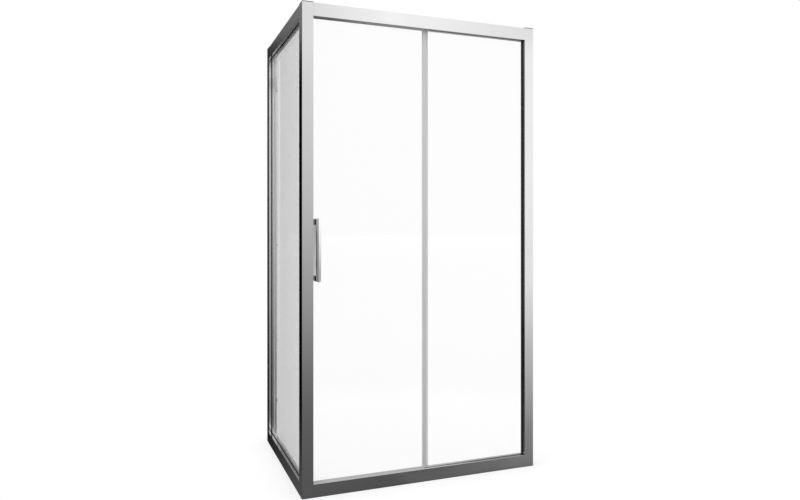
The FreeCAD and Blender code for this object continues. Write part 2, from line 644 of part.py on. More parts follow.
def countersink(seat, length):
    """Cone head flush with the carrier's back, and the shank behind it."""
    cone = Part.makeCone(SCREW_HEAD_RADIUS, SCREW_RADIUS, COUNTERSINK, FreeCAD.Vector(*seat), -Y_AXIS)
    return joined([cone, rod(SCREW_RADIUS, seat, -Y_AXIS, length)])


def carrier_screws():
    return [countersink(seat, length) for seat, axis, length in CARRIER_SCREWS]


def roller_carrier(middle):
    low = DOOR_HIGH - DOOR_PROFILE_TALL + METAL
    plate = box(middle - CARRIER_HALF, middle + CARRIER_HALF, DOOR_BACK, CARRIER_BACK, low,
                low + CARRIER_TALL)
    corners = [(middle + side * CARRIER_HALF, DOOR_BACK + CARRIER / 2.0, low + CARRIER_TALL)
               for side in (-1.0, 1.0)]
    plate = softened(plate, CARRIER_ROUND, corners)
    holes = [rod(AXLE_RADIUS + PIN_GAP, (x, DOOR_BACK, WHEEL_Z), Y_AXIS, CARRIER)
             for x in wheel_places(middle)]
    seats = [Part.makeCone(SCREW_HEAD_RADIUS + PIN_GAP, SCREW_RADIUS + PIN_GAP, COUNTERSINK,
                           FreeCAD.Vector(*seat), -Y_AXIS) for seat, axis, length in CARRIER_SCREWS]
    return plate.cut(holes + seats + screw_holes(CARRIER_SCREWS))


def wheel_places(middle):
    return [middle - WHEEL_SPACING / 2.0, middle + WHEEL_SPACING / 2.0]


def all_wheel_places():
    return [x for middle in CARRIERS for x in wheel_places(middle)]


def roller_axle(x):
    """Pin through the carrier, with a collar behind the wheel and a head in front of it."""
    front = DOOR_MIDDLE - WHEEL_WIDE / 2.0 - RUN_GAP
    back = DOOR_MIDDLE + WHEEL_WIDE / 2.0 + RUN_GAP
    head = rod(AXLE_HEAD_RADIUS, (x, front - AXLE_HEAD, WHEEL_Z), Y_AXIS, AXLE_HEAD)
    shank = rod(AXLE_RADIUS, (x, front - AXLE_HEAD, WHEEL_Z), Y_AXIS, CARRIER_BACK - front + AXLE_HEAD)
    collar = rod(AXLE_HEAD_RADIUS, (x, back, WHEEL_Z), Y_AXIS, DOOR_BACK - back)
    return joined([head, shank, collar])


def roller_wheel(x):
    """Wheel with a groove that runs over the ridge, and a bore for its axle."""
    front = DOOR_MIDDLE - WHEEL_WIDE / 2.0
    tyre = rod(WHEEL_RADIUS + WHEEL_RIM, (x, front, WHEEL_Z), Y_AXIS, WHEEL_WIDE)
    groove_wide = RIDGE_WIDE + 2.0 * RUN_GAP
    ring = rod(WHEEL_RADIUS + WHEEL_RIM, (x, DOOR_MIDDLE - groove_wide / 2.0, WHEEL_Z), Y_AXIS,
               groove_wide)
    ring = ring.cut(rod(WHEEL_RADIUS - RUN_GAP, (x, DOOR_MIDDLE - groove_wide / 2.0, WHEEL_Z),
                        Y_AXIS, groove_wide))
    bore = rod(AXLE_RADIUS + PIN_GAP, (x, front, WHEEL_Z), Y_AXIS, WHEEL_WIDE)
    return tyre.cut([ring, bore])


def guide_bracket(middle):
    """Block under the bottom profile that holds the guide wheel's pin."""
    block = box(middle - BRACKET_LONG / 2.0, middle + BRACKET_LONG / 2.0,
                GUIDE_Y - BRACKET_WIDE / 2.0, GUIDE_Y + BRACKET_WIDE / 2.0, BRACKET_LOW, DOOR_LOW)
    pin_hole = rod(AXLE_RADIUS + PIN_GAP, (middle, GUIDE_Y, BRACKET_LOW), Z_AXIS, BRACKET_TALL)
    return block.cut([pin_hole] + screw_holes(BRACKET_SCREWS))


def guide_axle(middle):
    """Pin under the bracket, with a head below the guide wheel."""
    low = GUIDE_LOW - RUN_GAP
    head = rod(AXLE_HEAD_RADIUS, (middle, GUIDE_Y, low - AXLE_HEAD), Z_AXIS, AXLE_HEAD)
    return joined([head, rod(AXLE_RADIUS, (middle, GUIDE_Y, low), Z_AXIS, DOOR_LOW - low)])


def guide_wheel(middle):
    wheel = rod(GUIDE_RADIUS, (middle, GUIDE_Y, GUIDE_LOW), Z_AXIS, GUIDE_WIDE)
    return wheel.cut(rod(AXLE_RADIUS + PIN_GAP, (middle, GUIDE_Y, GUIDE_LOW), Z_AXIS, GUIDE_WIDE))


def track_stop(x0):
    """Rubber block across the upper track, which a carrier meets at the end of its travel."""
    return box(x0, x0 + STOP_LONG, CHANNEL_FROM, CHANNEL_TO, HEAD_EDGE + RIDGE_TOP + STOP_ABOVE_RIDGE,
               UPRIGHT_TOP - METAL)


# ---------------------------------------------------------------- handles
def foot_heights():
    return [HANDLE_LOW + FOOT_LONG / 2.0, HANDLE_HIGH - FOOT_LONG / 2.0]


def bow_handle(front, seat):
    """Bevelled bar on two feet: the bar's outer face and the feet's seat are given as depths."""
    out = 1.0 if front > seat else -1.0
    bar_back = front - out * HANDLE_THICK
    across, deep = HANDLE_FACET
    section = [(HANDLE_FROM, bar_back), (HANDLE_TO, bar_back), (HANDLE_TO, front - out * deep),
               (HANDLE_TO - across, front), (HANDLE_FROM + across, front),
               (HANDLE_FROM, front - out * deep)]
    points = [FreeCAD.Vector(x, y, HANDLE_LOW) for x, y in section + section[:1]]
    bar = Part.Face(Part.makePolygon(points)).extrude(FreeCAD.Vector(0, 0, HANDLE_LONG))
    ends = [(HANDLE_AT, front, HANDLE_LOW), (HANDLE_AT, front, HANDLE_HIGH)]
    bar = softened(bar, HANDLE_ROUND, ends)
    feet = [box(HANDLE_FROM + FOOT_INSET, HANDLE_TO - FOOT_INSET, min(bar_back, seat),
                max(bar_back, seat), z - FOOT_LONG / 2.0 + FOOT_INSET, z + FOOT_LONG / 2.0 - FOOT_INSET)
            for z in foot_heights()]
    handle = joined([bar] + feet)
    return handle.cut([rod(BOLT_RADIUS + PIN_GAP, (HANDLE_AT, seat, z), out * Y_AXIS, BOLT_IN_FOOT)
                       for z in foot_heights()])


def outer_handle():
    return bow_handle(-HANDLE_PROUD, DOOR_PANE_FROM - WASHER)


def inner_handle():
    return bow_handle(DOOR_PANE_TO + HANDLE_INSIDE, DOOR_PANE_TO + WASHER)


def handle_bolts():
    start = DOOR_PANE_FROM - WASHER - BOLT_IN_FOOT
    length = GLASS + 2.0 * (WASHER + BOLT_IN_FOOT)
    return [rod(BOLT_RADIUS, (HANDLE_AT, start, z), Y_AXIS, length) for z in foot_heights()]


def ring(radius, start, length):
    """Ring round a handle bolt."""
    return rod(radius, start, Y_AXIS, length).cut(rod(BOLT_RADIUS + PIN_GAP, start, Y_AXIS, length))


def handle_bushes():
    return [ring(GLASS_HOLE_RADIUS - PIN_GAP, (HANDLE_AT, DOOR_PANE_FROM, z), GLASS)
            for z in foot_heights()]


def handle_washers():
    return [ring(WASHER_RADIUS, (HANDLE_AT, y, z), WASHER)
            for y in (DOOR_PANE_FROM - WASHER, DOOR_PANE_TO) for z in foot_heights()]


# ---------------------------------------------------------------- build
def frame_nodes():
    plug = channel_plug(FRONT_DEEP)
    side_plug = channel_plug(SIDE_DEEP)
    right_plug = (RIGHT_FACE + JAMB_WIDE + METAL, WIDTH - METAL - CAP_PLUG_WALL_GAP, *plug)
    rear_plug = (*side_plug, REAR_FACE + JAMB_WIDE + METAL, DEPTH - METAL - CAP_PLUG_WALL_GAP)
    front_spans = ((POST_WIDE, FRONT_RAIL[0]), (FRONT_RAIL[1], RIGHT_FACE))
    side_spans = ((POST_DEEP, SIDE_RAIL[0]), (SIDE_RAIL[1], REAR_FACE))
    screws = POST_SCREWS + RIGHT_SCREWS + REAR_SCREWS
    adjusters = RIGHT_ADJUSTERS + REAR_ADJUSTERS
    jamb_right = jamb(at_right_jamb, FRONT_DEEP).cut(screw_holes(RIGHT_SCREWS + RIGHT_ADJUSTERS))
    jamb_rear = jamb(at_rear_jamb, SIDE_DEEP).cut(screw_holes(REAR_SCREWS + REAR_ADJUSTERS))
    return {
        "corner_post": [corner_post()],
        "corner_post_cover": [corner_post_cover()],
        "corner_post_cap": [upright_cap(0.0, POST_WIDE, 0.0, POST_DEEP, post_plug())],
        "corner_post_foot": [corner_post_foot()],
        "wall_channel_right": [wall_channel_right()],
        "wall_channel_rear": [wall_channel_rear()],
        "wall_cap_right": [upright_cap(RIGHT_FACE, WIDTH, 0.0, FRONT_DEEP, right_plug)],
        "wall_cap_rear": [upright_cap(0.0, SIDE_DEEP, REAR_FACE, DEPTH, rear_plug)],
        "jamb_right": [jamb_right],
        "jamb_rear": [jamb_rear],
        "side_front_stile": [side_front_stile()],
        "top_rail": [top_rail()],
        "bottom_rail": [bottom_rail()],
        "side_top_rail": [side_rail(at_side_top_rail)],
        "side_bottom_rail": [side_rail(at_side_bottom_rail)],
        "front_joint_plates": (joint_plates(at_top_rail, front_spans, FRONT_DEEP, TRACK_CUTS)
                               + joint_plates(at_bottom_rail, front_spans, FRONT_DEEP, GUIDE_CUTS)),
        "side_joint_plates": (
            joint_plates(at_side_top_rail, side_spans, SIDE_DEEP, [SIDE_BACK_CUT])
            + joint_plates(at_side_bottom_rail, side_spans, SIDE_DEEP, [SIDE_BACK_CUT])),
        "frame_screws": [screw(*one) for one in screws],
        "head_filler_strips": filler_strips(at_top_rail),
        "sill_filler_strips": filler_strips(at_bottom_rail),
        "fixed_glass": [fixed_glass()],
        "fixed_glass_gasket": [fixed_glass_gasket()],
        "side_glass": [side_glass()],
        "side_glass_gasket": [side_glass_gasket()],
        "fixed_edge_profile": [fixed_edge_profile()],
        "centre_seal": [centre_seal()],
        "post_magnet_seal": [magnet_seal(CATCH_FLOOR, POST_SEAL_TO)],
        "post_magnet_bar": [magnet_bar(CATCH_FLOOR, POST_SEAL_TO)],
        "closing_stop": [track_stop(CARRIERS[0] - CARRIER_HALF - RUN_GAP - STOP_LONG)],
        "opening_stop": [track_stop(CARRIERS[1] + CARRIER_HALF + TRAVEL + RUN_GAP)],
        "adjuster_screws": [screw(*one) for one in adjusters],
        "adjuster_screw_covers": [screw_cover(seat, axis) for seat, axis, length in adjusters],
    }


def door_nodes():
    nodes = {
        "door_glass": [door_glass()],
        "door_leading_stile": [door_stile(DOOR_LEFT, DOOR_LEFT + STILE_WIDE, True)],
        "door_trailing_stile": [door_stile(DOOR_RIGHT - STILE_WIDE, DOOR_RIGHT, False)],
        "door_top_profile": [door_top_profile()],
        "door_bottom_profile": [door_bottom_profile()],
        "door_magnet_seal": [magnet_seal(DOOR_SEAL_FROM, DOOR_LEFT)],
        "door_magnet_bar": [magnet_bar(DOOR_SEAL_FROM, DOOR_LEFT)],
        "door_trailing_seal": [door_trailing_seal()],
        "door_bottom_seal": [door_bottom_seal()],
        "left_roller_carrier": [roller_carrier(CARRIERS[0])],
        "right_roller_carrier": [roller_carrier(CARRIERS[1])],
        "carrier_screws": carrier_screws(),
        "roller_axles": [roller_axle(x) for x in all_wheel_places()],
        "left_guide_bracket": [guide_bracket(CARRIERS[0])],
        "right_guide_bracket": [guide_bracket(CARRIERS[1])],
        "guide_bracket_screws": [screw(*one) for one in BRACKET_SCREWS],
        "guide_axles": [guide_axle(middle) for middle in CARRIERS],
        "left_guide_wheel": [guide_wheel(CARRIERS[0])],
        "right_guide_wheel": [guide_wheel(CARRIERS[1])],
        "outer_handle": [outer_handle()],
        "inner_handle": [inner_handle()],
        "handle_bolts": handle_bolts(),
        "handle_bushes": handle_bushes(),
        "handle_washers": handle_washers(),
    }
    for number, x in enumerate(all_wheel_places(), start=1):
        nodes["roller_wheel_" + str(number)] = [roller_wheel(x)]
    return nodes


os.makedirs("parts", exist_ok=True)
for node, solids in {**frame_nodes(), **door_nodes()}.items():
    export(node, solids)
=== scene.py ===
import json
import math

import bmesh
import bpy
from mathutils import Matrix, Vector


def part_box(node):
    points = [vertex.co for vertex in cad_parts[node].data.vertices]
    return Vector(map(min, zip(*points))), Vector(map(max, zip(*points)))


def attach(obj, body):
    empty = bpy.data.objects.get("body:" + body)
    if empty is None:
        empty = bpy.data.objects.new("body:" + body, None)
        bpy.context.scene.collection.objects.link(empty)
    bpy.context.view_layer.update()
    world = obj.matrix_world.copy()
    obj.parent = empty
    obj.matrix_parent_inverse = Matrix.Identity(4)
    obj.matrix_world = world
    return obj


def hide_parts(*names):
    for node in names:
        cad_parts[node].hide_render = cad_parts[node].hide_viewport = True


# Shower enclosure with sliding door: a camera and a white studio, a finish for every solid, and the
# finely shaped pieces that are added to the solids or stand for them.

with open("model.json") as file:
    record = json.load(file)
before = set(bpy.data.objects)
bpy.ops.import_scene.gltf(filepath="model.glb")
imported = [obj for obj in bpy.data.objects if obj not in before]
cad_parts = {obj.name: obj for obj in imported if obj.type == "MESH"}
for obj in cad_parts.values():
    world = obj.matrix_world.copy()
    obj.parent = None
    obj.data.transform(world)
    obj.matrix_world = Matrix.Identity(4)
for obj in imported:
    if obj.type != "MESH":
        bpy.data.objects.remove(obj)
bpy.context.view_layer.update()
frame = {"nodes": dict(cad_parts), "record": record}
nodes = frame["nodes"]
scene = bpy.context.scene
scene.view_settings.view_transform = "Standard"

X, Y, Z = range(3)
WHITE = (1.0, 1.0, 1.0, 1.0)


# ---------------------------------------------------------------- camera
CAMERA_PLACE = (-1.0707, -3.0572, 1.0363)   # at chest height, in front and to the left
VIEW_RIGHT, VIEW_AHEAD = 0.37896, 0.92541   # viewing direction along X and Y; the camera is level
SENSOR_WIDE, FOCAL_LENGTH = 36.0, 31.72     # millimetres
FRAME_SHIFT = (-0.0374, -0.0285)            # the picture's middle off the lens axis
CLIP_RANGE = (0.05, 200.0)


def build_camera():
    camera = bpy.data.objects.new("camera", bpy.data.cameras.new("camera"))
    scene.collection.objects.link(camera)
    camera.location = CAMERA_PLACE
    camera.rotation_euler = (math.radians(90.0), 0.0, -math.atan2(VIEW_RIGHT, VIEW_AHEAD))
    camera.data.sensor_width = SENSOR_WIDE
    camera.data.lens = FOCAL_LENGTH
    camera.data.shift_x, camera.data.shift_y = FRAME_SHIFT
    camera.data.clip_start, camera.data.clip_end = CLIP_RANGE
    scene.camera = camera


# ---------------------------------------------------------------- node helpers
CLOUD_STOPS = (0.3, 0.7)                    # noise values that take a surface's two tones
MIX_A, MIX_B, MIX_RESULT = 6, 7, 2          # sockets of a mix node that mixes colours


def node(tree, kind, inputs=None, **settings):
    """Adds a node, sets its properties, and links or sets its inputs."""
    made = tree.nodes.new(kind)
    for name, value in settings.items():
        setattr(made, name, value)
    for name, value in (inputs or {}).items():
        if isinstance(value, bpy.types.NodeSocket):
            tree.links.new(value, made.inputs[name])
        else:
            made.inputs[name].default_value = value
    return made


def math_node(tree, operation, a, b=0.0, clamp=False):
    return node(tree, "ShaderNodeMath", {0: a, 1: b}, operation=operation,
                use_clamp=clamp).outputs[0]


def map_range(tree, value, start, end, low=0.0, high=1.0, kind="LINEAR"):
    """Maps start..end to low..high, and holds the value there."""
    limits = {"Value": value, "From Min": start, "From Max": end, "To Min": low, "To Max": high}
    return node(tree, "ShaderNodeMapRange", limits, interpolation_type=kind).outputs["Result"]


def step_over(tree, value, edges):
    """Soft step from 0 at the first edge to 1 at the second."""
    return map_range(tree, value, edges[0], edges[1], kind="SMOOTHSTEP")


def ramp(tree, factor, stops):
    """Grey ramp through (position, tone) stops."""
    made = node(tree, "ShaderNodeValToRGB", {"Fac": factor})
    elements = made.color_ramp.elements
    stops = list(stops)
    while len(elements) < len(stops):
        elements.new(0.5)
    for element, (position, tone) in zip(elements, stops):
        element.position = position
        element.color = (tone, tone, tone, 1.0)
    return made.outputs["Color"]


def clouded(tree, clouds, tones):
    """Two tones, mixed by noise."""
    return ramp(tree, clouds, zip(CLOUD_STOPS, tones))


def mixed_tones(tree, factor, first, second, kind="MIX"):
    """Mixes two tones, each a socket or a colour."""
    made = node(tree, "ShaderNodeMix", {"Factor": factor}, data_type="RGBA", blend_type=kind)
    for socket, tones in ((MIX_A, first), (MIX_B, second)):
        if isinstance(tones, bpy.types.NodeSocket):
            tree.links.new(tones, made.inputs[socket])
        else:
            made.inputs[socket].default_value = tones
    return made.outputs[MIX_RESULT]


def blank_material(name):
    made = bpy.data.materials.new(name)
    made.use_nodes = True
    made.node_tree.nodes.clear()
    return made, made.node_tree


def seen_by_eye(tree):
    """1 for rays that show the surroundings: straight, reflected and through glass."""
    path = node(tree, "ShaderNodeLightPath")
    total = math_node(tree, "ADD", path.outputs["Is Camera Ray"], path.outputs["Is Glossy Ray"])
    return math_node(tree, "ADD", total, path.outputs["Is Transmission Ray"], clamp=True)


# ---------------------------------------------------------------- light and floor
SKY_LIGHT = 0.66
KEY_LIGHT, KEY_WIDTH = 0.95, 70.0           # strength, and how many degrees of the sky it fills
KEY_DIRECTION = Vector((0.35, 0.40, -1.0))  # from the front left, down
FLOOR_RADIUS, FLOOR_DROP = 90.0, 0.0006     # metres
FLOOR_STEPS = 96
FLOOR_TONES, FLOOR_GRAIN = (0.61, 0.63), {"Scale": 3.0, "Detail": 3.0}
# What the eye sees is lifted to white: a little more near the enclosure, where its shadow falls, so
# painted light thins that shadow.
GLOW_NEAR, GLOW_FAR, GLOW_FADE = 0.47, 0.44, (0.9, 1.6)


def build_world():
    """Plain sky light, which the eye sees as white."""
    world = bpy.data.worlds.new("studio")
    scene.world = world
    world.use_nodes = True
    tree = world.node_tree
    tree.nodes.clear()
    light = node(tree, "ShaderNodeBackground", {"Color": WHITE, "Strength": SKY_LIGHT})
    white = node(tree, "ShaderNodeBackground", {"Color": WHITE, "Strength": 1.0})
    both = node(tree, "ShaderNodeMixShader",
                {0: seen_by_eye(tree), 1: light.outputs[0], 2: white.outputs[0]})
    node(tree, "ShaderNodeOutputWorld", {"Surface": both.outputs[0]})


def build_floor():
    mesh = bpy.data.meshes.new("floor")
    floor = bpy.data.objects.new("floor", mesh)
    scene.collection.objects.link(floor)
    shape = bmesh.new()
    bmesh.ops.create_circle(shape, cap_ends=True, segments=FLOOR_STEPS, radius=FLOOR_RADIUS)
    bmesh.ops.translate(shape, verts=shape.verts, vec=(0.0, 0.0, -FLOOR_DROP))
    shape.to_mesh(mesh)
    shape.free()

    made, tree = blank_material("pale_floor")
    grain = node(tree, "ShaderNodeTexNoise", FLOOR_GRAIN).outputs["Fac"]
    cloth = node(tree, "ShaderNodeBsdfDiffuse", {"Color": clouded(tree, grain, FLOOR_TONES)})
    here = node(tree, "ShaderNodeNewGeometry").outputs["Position"]
    away = node(tree, "ShaderNodeVectorMath", {0: here}, operation="LENGTH").outputs["Value"]
    # painted light: a stronger lift near the enclosure thins its shadow on the floor
    lift = map_range(tree, step_over(tree, away, GLOW_FADE), 0.0, 1.0, GLOW_NEAR, GLOW_FAR)
    glow = node(tree, "ShaderNodeEmission", {
        "Color": WHITE, "Strength": math_node(tree, "MULTIPLY", seen_by_eye(tree), lift)})
    both = node(tree, "ShaderNodeAddShader", {0: cloth.outputs[0], 1: glow.outputs[0]})
    node(tree, "ShaderNodeOutputMaterial", {"Surface": both.outputs[0]})
    mesh.materials.append(made)


def build_key_light():
    """Wide soft light, even over the whole floor."""
    data = bpy.data.lights.new("key", "SUN")
    data.energy = KEY_LIGHT
    data.angle = math.radians(KEY_WIDTH)
    key = bpy.data.objects.new("key", data)
    key.rotation_euler = KEY_DIRECTION.to_track_quat("-Z", "Y").to_euler()
    for kind in ("camera", "glossy", "transmission"):
        setattr(key, "visible_" + kind, False)
    scene.collection.objects.link(key)


# ---------------------------------------------------------------- reflected studio
# A round wall and floor sheet with the studio's light and dark cards, which only reflections show.
# Its tones are (place, tone) stops. A place is a height unless a comment says otherwise: the slope
# up from EYE_LEVEL, from SLOPES[0] at 0 to SLOPES[1] at 1. SLOPE_REACH is added to the distance, so
# that the slope stays finite near the middle. Bearings are degrees to the right of straight out of
# the front. A pair of edges is where one set of tones starts to turn into the next, and where it
# has turned.
WALL_PROFILE = [(0.4, 0.0004), (1.0, 0.0004), (2.0, 0.0004), (4.0, 0.0004), (6.5, 0.0004),
                (7.6, 0.3), (8.0, 1.2), (8.0, 8.0)]     # radius and height
WALL_STEPS = 96
EYE_LEVEL, SLOPE_REACH, SLOPES = 1.04, 2.2, (-0.4, 0.4)
POST_PLACE = (-0.505, -0.39)                # the corner post, from which LEFT_OF_FLAG is taken
NEAREST_DEPTH = 0.3                         # least distance behind it that counts

# In front: dark low down, light above, and lighter to the right.
FAR_LEFT = [(0.0, 0.09), (0.14, 0.12), (0.25, 0.18), (0.34, 0.24), (0.46, 0.31), (0.59, 0.38),
            (0.8, 0.45)]
FRONT_LEFT = [(0.0, 0.13), (0.02, 0.115), (0.035, 0.10), (0.14, 0.12), (0.22, 0.17), (0.38, 0.33),
              (0.5, 0.47), (0.62, 0.62), (0.82, 0.80)]
FRONT_RIGHT = [(0.0, 0.14), (0.08, 0.19), (0.25, 0.50), (0.40, 0.90), (0.6, 1.0)]
FAR_RIGHT = [(0.0, 0.15), (0.25, 0.36), (0.287, 0.39), (0.331, 0.44), (0.39, 0.60), (0.458, 0.76),
             (0.529, 0.90), (0.60, 1.0)]
FAR_LEFT_BEARINGS, FRONT_BEARINGS, FAR_RIGHT_BEARINGS = (-5.0, -15.0), (4.0, 36.0), (38.0, 44.0)
# High up in front, a patch multiplies those tones by PATCH_GAIN times its own, left to right.
PATCH = [(0.0, 0.50), (0.12, 0.53), (0.27, 0.59), (0.45, 0.60), (0.58, 0.56), (0.75, 0.49),
         (0.95, 0.43)]
NO_PATCH, PATCH_GAIN = (0.5, 0.5, 0.5, 1.0), 2.0
PATCH_BEARINGS, PATCH_HEIGHTS = (8.0, 32.0), (0.80, 0.86)

# Behind: a black flag that ends below the ceiling, dim to its left and grey to its right.
FLAG_FLOOR = [(0.0, 0.075), (0.1, 0.069), (0.175, 0.055), (0.25, 0.040), (0.30, 0.034),
              (0.375, 0.021), (0.46, 0.017), (0.60, 0.005), (0.77, 0.002), (1.0, 0.0)]
FLAG_TOP = [(0.0, 0.0), (0.76, 0.0), (0.775, 0.004), (0.795, 0.012), (0.815, 0.025),
            (0.832, 0.045), (0.848, 0.090), (0.862, 0.130), (0.878, 0.155), (0.905, 0.168),
            (1.0, 0.25)]
REAR_LEFT = [(0.0, 0.045), (0.6, 0.050), (0.75, 0.065), (0.83, 0.12), (0.87, 0.14), (1.0, 0.25)]
REAR_MIDDLE = [(0.0, 0.06), (0.36, 0.10), (0.5, 0.15), (0.68, 0.23), (0.85, 0.25)]
REAR_RIGHT = [(0.0, 0.20), (0.34, 0.25), (0.5, 0.35), (0.70, 0.50), (0.95, 0.60)]
REAR_END = [(0.0, 0.12), (0.35, 0.17), (0.70, 0.22), (0.95, 0.30)]
FLAG_DEPTHS = (-0.4, 1.6)                   # y that FLAG_FLOOR is spread over
LEFT_OF_FLAG = (-0.28, -0.42)               # x over y, both from the post
MIDDLE_FROM, RIGHT_FROM, END_FROM = (-0.2, 0.6), (1.1, 1.7), (3.3, 4.1)     # x
REAR_FROM = (-0.45, -0.30)                  # y


def join_rings(shape, rings):
    """Skin between each ring of corners and the next."""
    count = len(rings[0])
    for one, other in zip(rings, rings[1:]):
        for k in range(count):
            shape.faces.new((one[k], one[(k + 1) % count], other[(k + 1) % count], other[k]))


def by_bearing(tree, bearing, edges):
    return step_over(tree, bearing, [math.radians(edge) for edge in edges])


def front_tones(tree, bearing, height):
    tones = mixed_tones(tree, by_bearing(tree, bearing, FRONT_BEARINGS),
                        ramp(tree, height, FRONT_LEFT), ramp(tree, height, FRONT_RIGHT))
    across = map_range(tree, bearing, *(math.radians(edge) for edge in PATCH_BEARINGS))
    patch = mixed_tones(tree, step_over(tree, height, PATCH_HEIGHTS), NO_PATCH,
                        ramp(tree, across, PATCH))
    product = node(tree, "ShaderNodeVectorMath", {0: tones, 1: patch},
                   operation="MULTIPLY").outputs[0]
    tones = node(tree, "ShaderNodeVectorMath", {0: product, "Scale": PATCH_GAIN},
                 operation="SCALE").outputs[0]
    tones = mixed_tones(tree, by_bearing(tree, bearing, FAR_LEFT_BEARINGS), tones,
                        ramp(tree, height, FAR_LEFT))
    return mixed_tones(tree, by_bearing(tree, bearing, FAR_RIGHT_BEARINGS), tones,
                       ramp(tree, height, FAR_RIGHT))


def rear_tones(tree, x, y, height):
    depth = map_range(tree, y, *FLAG_DEPTHS)
    tones = mixed_tones(tree, 1.0, ramp(tree, depth, FLAG_FLOOR), ramp(tree, height, FLAG_TOP),
                        "ADD")
    past_post = math_node(tree, "SUBTRACT", y, POST_PLACE[Y])
    beside = math_node(tree, "DIVIDE", math_node(tree, "SUBTRACT", x, POST_PLACE[X]),
                       math_node(tree, "MAXIMUM", past_post, NEAREST_DEPTH))
    tones = mixed_tones(tree, step_over(tree, beside, LEFT_OF_FLAG), tones,
                        ramp(tree, height, REAR_LEFT))
    for edges, stops in ((MIDDLE_FROM, REAR_MIDDLE), (RIGHT_FROM, REAR_RIGHT),
                         (END_FROM, REAR_END)):
        tones = mixed_tones(tree, step_over(tree, x, edges), tones, ramp(tree, height, stops))
    return tones


def studio_tones(tree):
    """Tone of the reflected studio at each place on its wall and floor."""
    here = node(tree, "ShaderNodeNewGeometry").outputs["Position"]
    x, y, z = node(tree, "ShaderNodeSeparateXYZ", {0: here}).outputs
    squares = math_node(tree, "ADD", math_node(tree, "MULTIPLY", x, x),
                        math_node(tree, "MULTIPLY", y, y))
    reach = math_node(tree, "ADD", math_node(tree, "SQRT", squares), SLOPE_REACH)
    slope = math_node(tree, "DIVIDE", math_node(tree, "SUBTRACT", z, EYE_LEVEL), reach)
    height = map_range(tree, slope, *SLOPES)
    bearing = math_node(tree, "ARCTAN2", x, math_node(tree, "MULTIPLY", y, -1.0))
    return mixed_tones(tree, step_over(tree, y, REAR_FROM), front_tones(tree, bearing, height),
                       rear_tones(tree, x, y, height))


def build_reflected_studio():
    mesh = bpy.data.meshes.new("reflection_wall")
    wall = bpy.data.objects.new("reflection_wall", mesh)
    scene.collection.objects.link(wall)
    shape = bmesh.new()
    turns = [2.0 * math.pi * k / WALL_STEPS for k in range(WALL_STEPS)]
    rings = [[shape.verts.new((radius * math.cos(turn), radius * math.sin(turn), height))
              for turn in turns] for radius, height in WALL_PROFILE]
    shape.faces.new(rings[0])
    join_rings(shape, rings)
    shape.to_mesh(mesh)
    shape.free()

    made, tree = blank_material("reflection_wall")
    glow = node(tree, "ShaderNodeEmission", {"Color": studio_tones(tree), "Strength": 1.0})
    clear = node(tree, "ShaderNodeBsdfTransparent")
    path = node(tree, "ShaderNodeLightPath")
    reflected = math_node(tree, "GREATER_THAN", path.outputs["Glossy Depth"], 0.5)
    both = node(tree, "ShaderNodeMixShader",
                {0: reflected, 1: clear.outputs[0], 2: glow.outputs[0]})
    node(tree, "ShaderNodeOutputMaterial", {"Surface": both.outputs[0]})
    mesh.materials.append(made)
    made.cycles.emission_sampling = "NONE"
    for kind in ("camera", "diffuse", "volume_scatter", "shadow"):
        setattr(wall, "visible_" + kind, False)


# ---------------------------------------------------------------- finishes
# Scales of noise are counts per metre, along X, Y and Z where there are three.
DIE_LINES, DIE_LINE_RUN = 900.0, 5.0        # across an extrusion, and along it
METAL_CLOUDS, PLASTIC_CLOUDS, SEAL_CLOUDS = (7.0,) * 3, (11.0,) * 3, (25.0, 25.0, 6.0)
GLASS_CLOUDS, GLASS_WAVES = (2.0,) * 3, (3.0,) * 3
GLASS_TINTS = ((0.992, 0.998, 0.996, 1.0), WHITE)
VEIL_TONES = (0.86, 0.90)
SEAL_ROUGH, SEAL_INDEX = (0.34, 0.46), 1.45
LINE_BUMP, GRAIN_BUMP, SEAL_BUMP, WAVE_BUMP = 0.05, 0.12, 0.05, 0.02
FINE_RELIEF, WAVE_RELIEF = 0.0003, 0.0002   # metres


def principled(tree, **inputs):
    named = {name.replace("_", " "): value for name, value in inputs.items()}
    surface = node(tree, "ShaderNodeBsdfPrincipled", named)
    node(tree, "ShaderNodeOutputMaterial", {"Surface": surface.outputs[0]})


def noise(tree, scale, detail=2.0):
    coordinates = node(tree, "ShaderNodeTexCoord").outputs["Object"]
    stretched = node(tree, "ShaderNodeMapping", {"Vector": coordinates, "Scale": scale}).outputs[0]
    return node(tree, "ShaderNodeTexNoise",
                {"Vector": stretched, "Scale": 1.0, "Detail": detail}).outputs["Fac"]


def bump(tree, height, strength, distance=FINE_RELIEF):
    return node(tree, "ShaderNodeBump", {"Height": height, "Strength": strength,
                                         "Distance": distance}).outputs[0]


def drawn_metal(name, along, tones, rough, metallic=1.0):
    """Drawn metal: fine die lines along one axis, and faint cloudiness in its surface."""
    made, tree = blank_material(name)
    lines = noise(tree, [DIE_LINE_RUN if axis == along else DIE_LINES for axis in (X, Y, Z)],
                  detail=3.0)
    clouds = noise(tree, METAL_CLOUDS)
    principled(tree, Base_Color=clouded(tree, clouds, tones), Metallic=metallic,
               Roughness=map_range(tree, lines, 0.0, 1.0, *rough),
               Normal=bump(tree, lines, LINE_BUMP))
    return made


def plastic(name, tones, rough, grain):
    """Moulded plastic or rubber with a fine grain."""
    made, tree = blank_material(name)
    speckle = noise(tree, (grain,) * 3, detail=4.0)
    clouds = noise(tree, PLASTIC_CLOUDS)
    principled(tree, Base_Color=clouded(tree, clouds, tones),
               Roughness=map_range(tree, speckle, 0.0, 1.0, *rough),
               Normal=bump(tree, speckle, GRAIN_BUMP))
    return made


